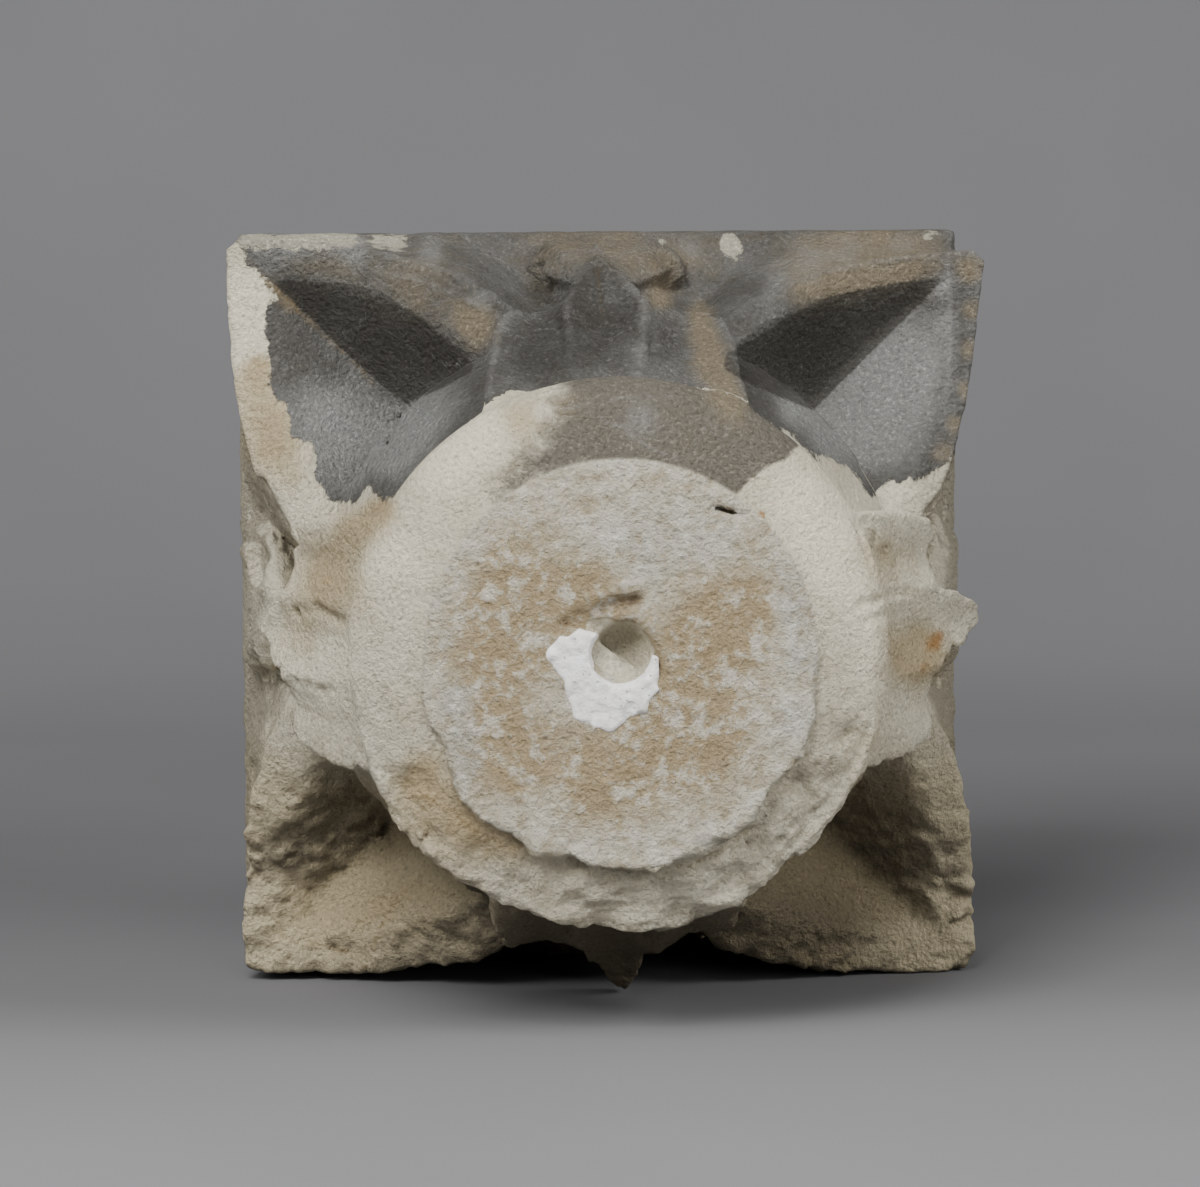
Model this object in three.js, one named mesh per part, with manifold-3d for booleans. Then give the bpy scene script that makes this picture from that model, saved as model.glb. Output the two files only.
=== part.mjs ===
// A square sandstone capital carved for a round shaft, lying on one side of its block.
// Its axis is level and runs along Y: the round bed with the dowel hole faces -Y,
// and the square abacus faces +Y. The floor is the plane z = 0, +Z is up.
import * as THREE from 'three'
import { mergeVertices } from 'three/addons/utils/BufferGeometryUtils.js'
import Module from 'manifold-3d'

const wasm = await Module()
wasm.setup()

// Driving dimensions in millimetres. "At" is a distance along the axis from the bed.
const blockSide = 302
const capitalHeight = 240
const abacusThickness = 30
const abacusBevel = 5
const abacusSetback = 2

const bedRadius = 70
const dowelRadius = 10.7
const dowelDepth = 18
const dowelStraightDepth = 6
const ringArrisRadius = 97
const ringArrisAt = 14
const ringRadius = 102.5
const ringBevelDepth = 22
const ringBandWidth = 10
const ringStep = 8.5
const neckDepth = 4
const lipRadius = 117.5
const lipAt = 108
const lipStep = 5.5
const bellRootAt = 162
const cavettoSetback = 4

const cornerLeafSetback = 2
const cornerLeafHalfWidth = 66
const cornerLeafRootAt = 118
const cornerLeafTipAt = 158
const cornerHollowHalfWidth = 44
const cornerHollowDepth = 44
const cornerHollowSetback = 18
const cornerLeafThickness = 12
const cornerLeafFlare = 11

const midLeafProud = 4
const midLeafHalfWidth = 45
const midLeafTipAt = 124
const midLeafRelief = 5
const midLeafThickness = 12

const bossHalfWidth = 36
const bossSetback = 2
const bossDepth = 50

const plasterDepth = 5
const plasterBelowBed = 0.5
const plasterReach = 28
const plasterGap = 0.3
const dowelWall = 1.2

// Values worked out from the driving ones
const half = blockSide / 2
const abacusAt = capitalHeight - abacusThickness
const ringBackAt = ringBevelDepth + ringBandWidth
const neckRadius = ringRadius - ringStep
const neckAt = ringBackAt + neckDepth
const bellRadius = lipRadius - lipStep
const bellAt = lipAt + lipStep
const cornerLeafRootRadius = bellRadius - 8
const cornerLeafReach = half * Math.SQRT2 - cornerLeafSetback
const midLeafReach = half + midLeafProud
const bossReach = half - bossSetback

const axialSteps = 64
const leafSteps = 16

// Turn a list of points and a list of triangles into a closed solid that faces out.
function solidFrom(points, triangles) {
  const geometry = new THREE.BufferGeometry()
  geometry.setAttribute('position', new THREE.Float32BufferAttribute(points.flat(), 3))
  geometry.setIndex(triangles.flat())
  return solidOf(geometry)
}

function solidOf(source) {
  const bare = source.clone()
  bare.deleteAttribute('normal')
  bare.deleteAttribute('uv')
  const merged = mergeVertices(bare, 1e-4)
  const position = merged.getAttribute('position')
  const index = merged.getIndex()
  const corner = [new THREE.Vector3(), new THREE.Vector3(), new THREE.Vector3()]
  const kept = []
  let volume = 0
  for (let i = 0; i < index.count; i += 3) {
    const ids = [index.getX(i), index.getX(i + 1), index.getX(i + 2)]
    if (ids[0] === ids[1] || ids[1] === ids[2] || ids[2] === ids[0]) continue
    corner.forEach((vertex, k) => vertex.fromBufferAttribute(position, ids[k]))
    volume += corner[0].dot(corner[1].cross(corner[2]))
    kept.push(ids)
  }
  const triVerts = Uint32Array.from(kept.flatMap((ids) => (volume < 0 ? [ids[0], ids[2], ids[1]] : ids)))
  const vertProperties = new Float32Array(position.array)
  return new wasm.Manifold(new wasm.Mesh({ numProp: 3, vertProperties, triVerts }))
}

function geometryOf(solid) {
  const mesh = solid.getMesh()
  const geometry = new THREE.BufferGeometry()
  geometry.setAttribute('position', new THREE.BufferAttribute(mesh.vertProperties, 3))
  geometry.setIndex(new THREE.BufferAttribute(mesh.triVerts, 1))
  geometry.computeVertexNormals()
  return geometry
}

// Skin a row of closed loops with as many points each, and close both ends on a centre.
function loft(loops) {
  const size = loops[0].length
  const points = loops.flat()
  const triangles = []
  for (let row = 0; row + 1 < loops.length; row += 1) {
    for (let k = 0; k < size; k += 1) {
      const a = row * size + k
      const b = row * size + ((k + 1) % size)
      triangles.push([a, b, b + size], [a, b + size, a + size])
    }
  }
  const centreOf = (loop) => [0, 1, 2].map((axis) => loop.reduce((sum, p) => sum + p[axis], 0) / size)
  const first = points.length
  points.push(centreOf(loops[0]), centreOf(loops[loops.length - 1]))
  const lastRow = (loops.length - 1) * size
  for (let k = 0; k < size; k += 1) {
    const next = (k + 1) % size
    triangles.push([next, k, first], [lastRow + k, lastRow + next, first + 1])
  }
  return solidFrom(points, triangles)
}

function smooth(points) {
  return new THREE.CatmullRomCurve3(points.map((p) => new THREE.Vector3(...p)), false, 'centripetal')
}

const mix = THREE.MathUtils.lerp

// The turned core: what is left of the dowel hole, a shallow bowl, with the flat bed around it,
// and then the bevelled ring, the neck, the bell and its lip
function core() {
  const bell = new THREE.CubicBezierCurve(
    new THREE.Vector2(neckRadius, neckAt),
    new THREE.Vector2(mix(neckRadius, lipRadius, 0.2), mix(neckAt, lipAt, 0.2)),
    new THREE.Vector2(mix(neckRadius, lipRadius, 0.7), mix(neckAt, lipAt, 0.6)),
    new THREE.Vector2(lipRadius, lipAt),
  )
  const floorDepth = dowelDepth - dowelStraightDepth
  const dowelFloor = new THREE.EllipseCurve(0, dowelStraightDepth, dowelRadius, floorDepth, Math.PI / 2, 0, true)
  const profile = [
    ...dowelFloor.getPoints(5),
    new THREE.Vector2(dowelRadius, 0),
    new THREE.Vector2(bedRadius, 0),
    new THREE.Vector2(mix(bedRadius, ringArrisRadius, 0.5), ringArrisAt * 0.42),
    new THREE.Vector2(ringArrisRadius, ringArrisAt),
    new THREE.Vector2(ringRadius, ringBevelDepth),
    new THREE.Vector2(ringRadius, ringBackAt),
    ...bell.getPoints(5),
    new THREE.Vector2(bellRadius, bellAt),
    new THREE.Vector2(bellRadius, abacusAt),
    new THREE.Vector2(0, abacusAt),
  ]
  return solidOf(new THREE.LatheGeometry(profile, axialSteps))
}

// A rounded square of the given half width: 2 is a circle, higher powers are squarer.
function roundedSquare(halfWidth, power, at) {
  const loop = []
  for (let k = 0; k < axialSteps; k += 1) {
    const angle = (2 * Math.PI * k) / axialSteps
    const cos = Math.abs(Math.cos(angle))
    const sin = Math.abs(Math.sin(angle))
    const radius = halfWidth / Math.pow(Math.pow(cos, power) + Math.pow(sin, power), 1 / power)
    loop.push([radius * Math.cos(angle), at, radius * Math.sin(angle)])
  }
  return loop
}

// The hollow bell behind the leaves, which turns from round to square under the abacus
function cavetto() {
  const loops = [roundedSquare(bellRadius - 1, 2, bellAt)]
  const steps = 6
  for (let row = 0; row <= steps; row += 1) {
    const share = row / steps
    const halfWidth = mix(bellRadius + 3, half - cavettoSetback, Math.pow(share, 1.7))
    loops.push(roundedSquare(halfWidth, mix(2, 9, share * share), mix(bellRootAt, abacusAt + 1, share)))
  }
  return loft(loops)
}

// The abacus is a little narrower from left to right than from top to bottom.
function square(halfWidth, at) {
  const corners = [[-1, -1], [1, -1], [1, 1], [-1, 1]]
  return corners.map(([x, z]) => [x * (halfWidth - abacusSetback), at, z * halfWidth])
}

function abacus() {
  return loft([
    square(half - abacusBevel, abacusAt),
    square(half, abacusAt + abacusBevel),
    square(half, capitalHeight),
  ])
}

// A corner leaf stands on a diagonal of the block: t runs out along the diagonal, p across it
// and w along the axis. Its hollow falls from an arris inside the rim to a valley.
function cornerLeaf({ signX, signZ, shorter = 0, lean = 0, widths = [1, 1], hollows = [1, 1.15] }) {
  const root = cornerLeafRootRadius
  const reach = cornerLeafReach - shorter
  const hollowReach = reach - cornerHollowSetback
  const along = (share) => mix(root, reach, share)
  const rise = (share) => mix(cornerLeafRootAt, cornerLeafTipAt, share)

  function rimOf(side) {
    const width = cornerLeafHalfWidth * side
    return smooth([
      [along(0), width, rise(0.02)],
      [along(0.26), width * 0.93, rise(0.3)],
      [along(0.55), width * 0.68, rise(0.66)],
      [along(0.82), width * 0.33, rise(0.92)],
      [along(1), 3, rise(1)],
    ])
  }

  function arrisOf(side) {
    const width = cornerHollowHalfWidth * side
    return smooth([
      [along(0), width, rise(-0.2)],
      [along(0.2), width * 0.91, rise(0.1)],
      [along(0.45), width * 0.66, rise(0.52)],
      [along(0.7), width * 0.26, rise(0.9)],
      [hollowReach, 0.6, rise(1.02)],
      [reach - 1, 1.2, rise(1)],
    ])
  }

  const hollowAt = cornerLeafRootAt + cornerHollowDepth
  const valley = smooth([
    [root, 0, hollowAt - 16],
    [along(0.14), 0, hollowAt - 6],
    [along(0.5), 0, hollowAt],
    [along(0.68), 0, hollowAt],
    [hollowReach, 0, rise(1.03)],
    [reach - 1, 0, rise(1)],
  ])
  const sides = [0, 1].map((k) => ({ rim: rimOf(widths[k]), arris: arrisOf(hollows[k]) }))
  const loops = []
  for (let step = 0; step <= leafSteps; step += 1) {
    const share = step / leafSteps
    const bend = lean * share * share
    const [plus, minus] = sides.map(({ rim, arris }) => {
      const edge = rim.getPoint(share)
      const inner = arris.getPoint(share)
      const backAt = edge.z + cornerLeafThickness
      const flare = Math.min(half * Math.SQRT2 - edge.x - cavettoSetback, edge.y + cornerLeafFlare)
      return [
        [inner.x, Math.min(inner.y, edge.y - 1), inner.z],
        [edge.x, edge.y, edge.z],
        [edge.x - 1, Math.max(edge.y - 1, 1.5), backAt],
        [edge.x - 3, Math.max(edge.y - 4, 1), backAt + 2],
        [Math.min(edge.x, half * Math.SQRT2 - 6), Math.max(flare, 1), abacusAt + 1],
      ]
    })
    const floor = valley.getPoint(share)
    const mirrored = minus.map(([t, p, w]) => [t, -p, w])
    const loop = [[floor.x, 0, floor.z], ...plus, ...mirrored.reverse()]
    loops.push(loop.map(([t, p, w]) => {
      const across = p + bend
      return [(signX * (t - across)) / Math.SQRT2, w, (signZ * (t + across)) / Math.SQRT2]
    }))
  }
  return loft(loops)
}

// Put a point given as [across, out, along] on a side: 0 is the top, then 1 right, 2 bottom, 3 left.
function onSide(turn, [across, out, along]) {
  const places = [[across, out], [out, across], [across, -out], [-out, across]]
  const [x, z] = places[turn]
  return [x, along, z]
}

// A middle leaf rises from behind the ring and leans out over the middle of a side. Columns run
// up it from the root, each with its place across, its length and how far it stands out.
function middleLeaf({ turn, shorter = 0, tipShift = 0 }) {
  const out = (share) => mix(ringRadius, midLeafReach, share)
  const up = (share) => mix(ringBackAt, midLeafTipAt, share)
  const spine = smooth([
    [0, ringRadius - 12, ringBackAt - 6],
    [0, out(0.12), up(0.27)],
    [0, out(0.43), up(0.57)],
    [0, out(0.74), up(0.83)],
    [0, midLeafReach, midLeafTipAt],
  ])
  const lobe = 0.53
  const tip = 1 - shorter / (midLeafReach - ringRadius)
  const halfColumns = [
    [1, lobe * 0.55, 0.2],
    [0.93, lobe * 0.86, 0.5],
    [0.8, lobe * 0.98, 0.1],
    [0.64, lobe * 1.02, -0.7],
    [0.46, lobe * 0.98, 0],
    [0.33, lobe * 1, 0.9],
    [0.22, mix(lobe, tip, 0.38), 0.4],
    [0.1, mix(lobe, tip, 0.72), 0],
  ]
  const columns = [
    ...halfColumns.map(([across, length, relief]) => [-across, length, relief]),
    [0, tip, -0.3],
    ...halfColumns.reverse(),
  ]
  const rows = 8
  const loops = []
  for (const [across, length, relief] of columns) {
    const front = []
    const back = []
    for (let row = 0; row <= rows; row += 1) {
      const share = (length * row) / rows
      const at = spine.getPoint(share)
      const tangent = spine.getTangent(share)
      const lift = relief * midLeafRelief * Math.min(1, share * 2)
      const q = across * midLeafHalfWidth * mix(1.12, 0.93, share) + tipShift * share * (1 - Math.abs(across))
      const drop = mix(midLeafThickness * 1.5, midLeafThickness * 0.7, share) - lift
      front.push([q, at.y + tangent.z * lift, at.z - tangent.y * lift])
      back.push([q, at.y - tangent.z * drop, at.z + tangent.y * drop])
    }
    loops.push([...front, ...back.reverse()].map((point) => onSide(turn, point)))
  }
  return loft(loops)
}

// A pointed boss in the middle of each side, under the abacus and behind the middle leaf
function boss({ turn, left = 1 }) {
  const low = bellRadius - 4
  const outline = (scale, at) => {
    const shape = [
      [0, 0],
      [0.6, 0.42],
      [1, 0.74],
      [0.66, 1],
      [0, 0.97],
      [-0.66 * left, 1],
      [-1 * left, 0.74],
      [-0.6 * left, 0.42],
    ]
    return shape.map(([across, out]) => onSide(turn, [
      across * bossHalfWidth * scale,
      mix(low, bossReach, mix(0.5, out, scale)),
      at,
    ]))
  }
  return loft([
    outline(0.3, abacusAt - bossDepth),
    outline(0.74, abacusAt - bossDepth * 0.66),
    outline(1, abacusAt - bossDepth * 0.28),
    outline(0.95, abacusAt + 1),
  ])
}

// A plain round bar along the axis, from one place to another
function bar(radius, from, to) {
  const profile = [[0, from], [radius, from], [radius, to], [0, to]].map(([r, at]) => new THREE.Vector2(r, at))
  return solidOf(new THREE.LatheGeometry(profile, axialSteps))
}

// The patch of old plaster on the lower left of the dowel hole, as shares of its reach
function plasterPatch(grow, from, to) {
  const outline = [[-0.96, 0.02], [-0.82, 0.22], [-0.43, 0.25], [0, 0], [0.47, -0.04], [0.45, -0.32],
    [0.28, -0.75], [-0.16, -1.02], [-0.66, -0.8], [-0.74, -0.33]]
  const middle = new THREE.Vector2(-0.25 * plasterReach, -0.35 * plasterReach)
  const corners = outline.map(([x, z]) => {
    const arm = new THREE.Vector2(x, z).multiplyScalar(plasterReach).sub(middle)
    return arm.setLength(arm.length() + grow).add(middle)
  })
  const geometry = new THREE.ExtrudeGeometry(new THREE.Shape(corners), { depth: to - from, bevelEnabled: false })
  geometry.rotateX(Math.PI / 2)
  geometry.translate(0, to, 0)
  return solidOf(geometry)
}

const carving = [
  cornerLeaf({ signX: -1, signZ: 1, widths: [0.96, 1], hollows: [0.95, 1.15] }),
  cornerLeaf({ signX: 1, signZ: 1, shorter: 3, lean: -7, widths: [0.8, 0.95] }),
  cornerLeaf({ signX: -1, signZ: -1, shorter: 5 }),
  cornerLeaf({ signX: 1, signZ: -1 }),
  middleLeaf({ turn: 0, shorter: 3, tipShift: -5 }),
  middleLeaf({ turn: 1, tipShift: 2 }),
  middleLeaf({ turn: 2, tipShift: 6 }),
  middleLeaf({ turn: 3, shorter: 12 }),
  boss({ turn: 0, left: 0.85 }),
  boss({ turn: 1 }),
  boss({ turn: 2 }),
  boss({ turn: 3 }),
]
let stone = core().add(cavetto()).add(abacus())
for (const piece of carving) stone = stone.add(piece)

// The side it lies on is worn flat, and the pocket for the plaster is open to the bed.
const margin = 20
const below = loft([-margin, capitalHeight + margin].map((at) => {
  const corners = [[-1, -1], [1, -1], [1, 0], [-1, 0]]
  return corners.map(([x, z]) => [x * blockSide, at, z * margin - half])
}))
const aroundDowel = bar(dowelRadius + dowelWall, -margin, dowelDepth)
const pocket = plasterPatch(0, -margin, plasterDepth).subtract(aroundDowel)
stone = stone.subtract(below).subtract(pocket)
const aroundDowelAndGap = bar(dowelRadius + dowelWall + plasterGap, -margin, dowelDepth)
const plaster = plasterPatch(-plasterGap, plasterBelowBed, plasterDepth - plasterGap).subtract(aroundDowelAndGap)

const sandstone = new THREE.MeshStandardMaterial({ color: 0xb3a995, roughness: 0.95, metalness: 0 })
const oldPlaster = new THREE.MeshStandardMaterial({ color: 0xe9e7e2, roughness: 0.9, metalness: 0 })

function sculpture(name, solid, material) {
  const mesh = new THREE.Mesh(geometryOf(solid), material)
  mesh.name = name
  return mesh
}

const group = new THREE.Group()
group.position.set(0, -capitalHeight / 2, half)
group.add(sculpture('capital', stone, sandstone))
group.add(sculpture('dowel_plaster', plaster, oldPlaster))

export default group
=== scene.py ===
# A weathered sandstone capital lying on one side, seen from its bed.
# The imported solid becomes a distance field, which is worn, chipped and roughened,
# and the meshed result stands for the solid. Lengths are in metres unless a name says mm.
# In the field, x runs right, z up from the capital's axis, and "at" along the axis from the bed,
# and all lengths are in millimetres.
import math

import bpy
import numpy as np
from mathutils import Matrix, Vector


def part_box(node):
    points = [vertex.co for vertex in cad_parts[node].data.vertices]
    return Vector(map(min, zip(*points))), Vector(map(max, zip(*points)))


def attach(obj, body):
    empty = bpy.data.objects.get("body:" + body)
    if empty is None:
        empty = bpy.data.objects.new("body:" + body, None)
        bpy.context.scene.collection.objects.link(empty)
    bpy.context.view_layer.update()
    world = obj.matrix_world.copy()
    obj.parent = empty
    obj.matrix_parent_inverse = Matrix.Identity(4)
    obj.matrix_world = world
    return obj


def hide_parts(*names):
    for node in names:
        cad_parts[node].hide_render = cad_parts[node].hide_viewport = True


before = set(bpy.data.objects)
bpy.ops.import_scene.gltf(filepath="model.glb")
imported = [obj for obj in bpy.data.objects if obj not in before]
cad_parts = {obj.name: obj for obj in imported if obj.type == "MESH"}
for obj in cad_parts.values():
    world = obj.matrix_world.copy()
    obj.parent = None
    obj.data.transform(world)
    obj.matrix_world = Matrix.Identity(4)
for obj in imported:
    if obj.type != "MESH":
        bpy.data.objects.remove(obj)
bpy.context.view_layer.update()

import openvdb
from mathutils import Matrix, Vector

MM = 0.001

# The photograph's view, in the frame of the part
CAMERA_PLACE = Vector((-0.074, -1.880, 0.3579))
CAMERA_PITCH = math.radians(5.956)
CAMERA_YAW = math.radians(2.15)
CAMERA_ROLL = math.radians(0.34)
SENSOR_WIDTH = 36.0
LENS = 142.65
PHOTO_WIDTH = 1200
PHOTO_HEIGHT = 1187
FOCAL_PIXELS = LENS / SENSOR_WIDTH * PHOTO_WIDTH
PIXELS_PER_MM = 2.3

# Sizes of the capital that the wear follows, in millimetres
AXIS_HEIGHT_MM = 151.0
BED_RADIUS_MM = 70.0
RING_RADIUS_MM = 102.5
RING_END_MM = 36
DOWEL_RADIUS_MM = 10.7
MOUTH_RADIUS_MM = 13.0
MOUTH_SLOPE = 0.45
POCKET_RADIUS_MM = 36
POCKET_FLOOR_MM = 1.5
POCKET_END_MM = 9
BED_AT_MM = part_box("capital")[0].y * 1000
# How far the proud bed and its colours reach past its radius, and how much further at the bottom
PROUD_BED_PAST_MM = 2.6
BED_COLOUR_PAST_MM = 3.4
BROKEN_PAST_MM = 7.5

# Meshing
VOXEL_MM = 1.15
PLASTER_VOXEL_MM = 0.5
BAND_VOXELS = 9
STONE_TRIANGLES = 192000
PLASTER_TRIANGLES = 12000
COARSE_LEVELS = 4
SEED = 11

# How softly chips and added stone meet the rest, and how far around them the field is changed
DENT_ROUNDING_MM = 1.2
GROOVE_ROUNDING_MM = 0.5
SWELL_ROUNDING_MM = 4.0
OUTLINE_ROUNDING_MM = 1.5
BALL_MARGIN_MM = 8
OUTLINE_REACH_MM = 36
RIDGE_SLOPE = 0.25

# Light and surroundings
LIGHT_SIZE = 0.9
LIGHT_AIM = Vector((0, 0, 0.15))
LIGHTS = [
    ("key", (-0.8, -1.8, 1.8), 58),
    ("top", (-0.45, -1.25, 2.1), 28),
    ("left", (-1.5, -1.2, 1.2), 20),
    ("right", (1.7, -1.0, 1.3), 36),
    ("front", (0.9, -2.6, 0.9), 12),
]
WORLD_STRENGTH = 0.1
FLOOR_START = -2.6
FLOOR_END = 0.8
BACKDROP_BEND = 0.7
BACKDROP_HEIGHT = 3.5
BACKDROP_HALF_WIDTH = 3.0
BEND_STEPS = 12
# Greys of the backdrop, each at its y, between two ends; the dark ones are painted shade behind the capital
SHADES_START = -0.4
SHADES_END = 1.6
BACKDROP_GREYS_AND_SHADE = [
    (-0.28, 0.182), (-0.13, 0.167), (0.0, 0.132), (0.22, 0.112), (0.42, 0.114), (0.95, 0.162), (1.2, 0.166),
]

# Colours of the stone where it is fresh, on its bed and under its crust
BEIGE = (0.69, 0.625, 0.47)
PALE_BEIGE = (0.76, 0.70, 0.545)
DULL_BEIGE = (0.58, 0.505, 0.345)
CREAM_AND_LIGHT = (0.93, 0.855, 0.655)
OCHRE = (0.47, 0.34, 0.165)
RUST = (0.42, 0.20, 0.05)
OLIVE = (0.68, 0.57, 0.36)
DEEP_OLIVE_AND_SHADE = (0.29, 0.23, 0.125)
UNDERSIDE_SHADE = (0.16, 0.135, 0.095)
RUSTY_STONE = (0.36, 0.235, 0.09)
SIDE_STONE = (0.25, 0.22, 0.16)
BED_STONE = (0.70, 0.645, 0.51)
BED_TAN = (0.46, 0.355, 0.205)
BED_ASH = (0.58, 0.57, 0.50)
BED_WHITE = (0.86, 0.82, 0.70)
BED_GRIME = (0.40, 0.30, 0.17)
BED_DIRT = (0.22, 0.15, 0.08)
CRUST_DARK = (0.125, 0.119, 0.105)
CRUST_LIGHT = (0.18, 0.176, 0.162)
CRUST_BLOTCH = (0.09, 0.08, 0.063)
FILM_GREY = (0.215, 0.19, 0.145)
CRUST_TAN = (0.31, 0.25, 0.16)
CRUST_PALE_AND_LIGHT = (0.37, 0.37, 0.35)
BARE_STONE = (0.60, 0.56, 0.44)
LINE_GREY_HIGHLIGHT = (0.42, 0.415, 0.385)
RUSTY_CRUST = (0.36, 0.26, 0.12)
CRUST_BLACK_AND_SHADE = (0.045, 0.041, 0.034)
WALL_CRUST_AND_SHADE = (0.055, 0.050, 0.041)
EDGE_GREY = (0.27, 0.265, 0.25)
VEIN_GREY = (0.30, 0.295, 0.28)
PIT_BROWN = (0.11, 0.09, 0.06)
PLASTER_WHITE = (0.80, 0.79, 0.77)
PLASTER_GREY = (0.68, 0.66, 0.61)
PLASTER_PIT = (0.22, 0.19, 0.15)

# From here to the functions, all places are pixels of the photograph and other lengths are millimetres.
# Dents are each (u, v, radii), and grooves each (points, width, depth).
# The chipped trough above the dowel hole, each (u, v, reach)
TROUGH = [(572, 626, 5), (586, 619, 6), (602, 612, 6.5), (618, 606, 5.5), (634, 602, 4)]
TROUGH_DEPTH_MM = 3.4
TROUGH_FLATNESS = 0.62
# The worn mouth of the dowel hole, and the crack and the flake at the top right of the bed
MOUTH_DENTS = [(600, 630, (6, 5, 4.5)), (650, 668, (5, 3, 7))]
BED_CRACKS = [
    ([(684, 480), (700, 493), (716, 506), (735, 513), (757, 516)], 0.9, 4),
    ([(706, 499), (718, 508), (732, 513)], 1.5, 4.5),
]
BED_DENTS = [(709, 484, (4.5, 2, 3)), (770, 517, (1.4, 1.4, 1.4)), (742, 845, (1.8, 5, 1.8))]
# Left: the crack beside the collar, the gap below the corner leaf and the rough middle leaf
LEFT_GAPS = [
    ([(404, 408), (396, 424), (386, 446)], 1.1, 6),
    ([(262, 482), (278, 512), (296, 542)], 2.2, 9),
]
LEFT_DENTS = [(254, 560, (6, 10, 11)), (250, 590, (4, 8, 5)), (268, 683, (4, 9, 7))]
LEFT_FOLDS = [
    ([(294, 614), (318, 609), (344, 622)], 2.4, 3.2),
    ([(300, 634), (326, 636), (346, 632)], 1.6, 2.2),
    ([(292, 680), (322, 690), (350, 692)], 2.0, 2.6),
    ([(320, 556), (334, 545), (350, 544)], 1.2, 1.6),
]
# Right: the break on the upper lobe and the edge of the middle lobe
RIGHT_CRACKS = [([(858, 524), (872, 519), (884, 528), (896, 538), (912, 542)], 1.1, 1.8)]
RIGHT_DENTS = [
    (862, 534, (4.5, 1.8, 4.5)), (874, 540, (5, 1.8, 5)), (884, 552, (4, 1.8, 4)), (868, 553, (4, 1.8, 4)),
]
RIGHT_FOLDS = [
    ([(860, 606), (880, 598), (905, 592), (925, 597)], 1.8, 2.2),
    ([(866, 622), (890, 612), (915, 606)], 1.2, 1.4),
]
# Top: stone behind the middle leaf under the boss, each (x, at, z, radii)
BOSS_STONE = [(15, 184, 111, (24, 27, 20)), (-15, 184, 110, (24, 27, 18))]
# The top leaf's pointed middle lobe and the knob to its right: an outline, the pixels that its face
# runs between, how far it stands proud and its thickness
MIDDLE_LOBE = [
    (557, 330), (557, 312), (563, 298), (576, 278), (588, 262), (597, 254), (606, 258), (614, 270),
    (626, 288), (641, 302), (643, 332),
]
MIDDLE_LOBE_FACE = ((600, 332), (597, 262), 7.0, 34)
RIGHT_KNOB = [
    (628, 290), (630, 268), (645, 254), (668, 246), (680, 256), (687, 275), (670, 288), (652, 301),
    (640, 303),
]
RIGHT_KNOB_FACE = ((655, 256), (655, 256), 0.0, 20)
# The broken left half of the boss, and the grooves between the top leaf's lobes and up its middle
BOSS_DENTS = [(532, 268, (6, 5, 5)), (545, 284, (5, 5, 5)), (552, 298, (3, 4, 4))]
LOBE_GROOVES = [
    ([(556, 312), (560, 330), (563, 366)], 1.0, 1.0),
    ([(652, 304), (650, 330), (648, 366)], 1.2, 1.8),
    ([(597, 266), (600, 300), (606, 340)], 1.2, 1.4),
]
# Lower right: flakes off the rim
RIM_DENTS = [
    (958, 903, (9, 2.4, 4)), (952, 880, (6, 2.0, 3)), (962, 925, (5, 2.4, 4)), (946, 858, (5, 1.8, 3)),
]

# Outlines of the dark crust
LEFT_CRUST = [
    (225, 200), (232, 238), (243, 247), (248, 262), (262, 277), (275, 290), (286, 300), (272, 301),
    (264, 311), (266, 330), (270, 346), (273, 361), (268, 380), (273, 398), (287, 402), (288, 420),
    (289, 440), (312, 443), (316, 460), (317, 478), (327, 486), (328, 500), (353, 503), (366, 487),
    (376, 495), (386, 500), (396, 499), (404, 488), (440, 445), (480, 418), (520, 398), (560, 387),
    (620, 380), (640, 200),
]
RIGHT_CRUST = [
    (600, 200), (600, 380), (680, 386), (740, 405), (790, 436), (813, 456), (836, 462), (851, 470),
    (861, 481), (866, 492), (872, 496), (881, 486), (892, 481), (900, 486), (905, 478), (916, 480),
    (922, 476), (931, 473), (942, 466), (955, 452), (1000, 430), (1000, 200),
]
RING_FILM = [
    (566, 340), (562, 395), (548, 432), (526, 458), (508, 478), (498, 496), (545, 480), (575, 470),
    (610, 466), (650, 474), (682, 482), (712, 496), (738, 493), (746, 482), (752, 477), (764, 468),
    (784, 459), (794, 449), (800, 443), (830, 440), (830, 340),
]
# The walls of the hollow leaves at the top corners, painted dark for their black crust and for their shade
LEFT_SHADED_WALL = [
    (269, 279), (306, 281), (345, 283), (380, 291), (415, 313), (446, 340), (474, 364), (470, 373),
    (442, 388), (407, 404), (380, 384), (337, 345), (298, 306),
]
RIGHT_SHADED_WALL = [
    (945, 277), (906, 281), (867, 288), (828, 297), (789, 316), (758, 336), (727, 353), (723, 369),
    (758, 388), (813, 411), (844, 380), (891, 333), (922, 302),
]
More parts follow.
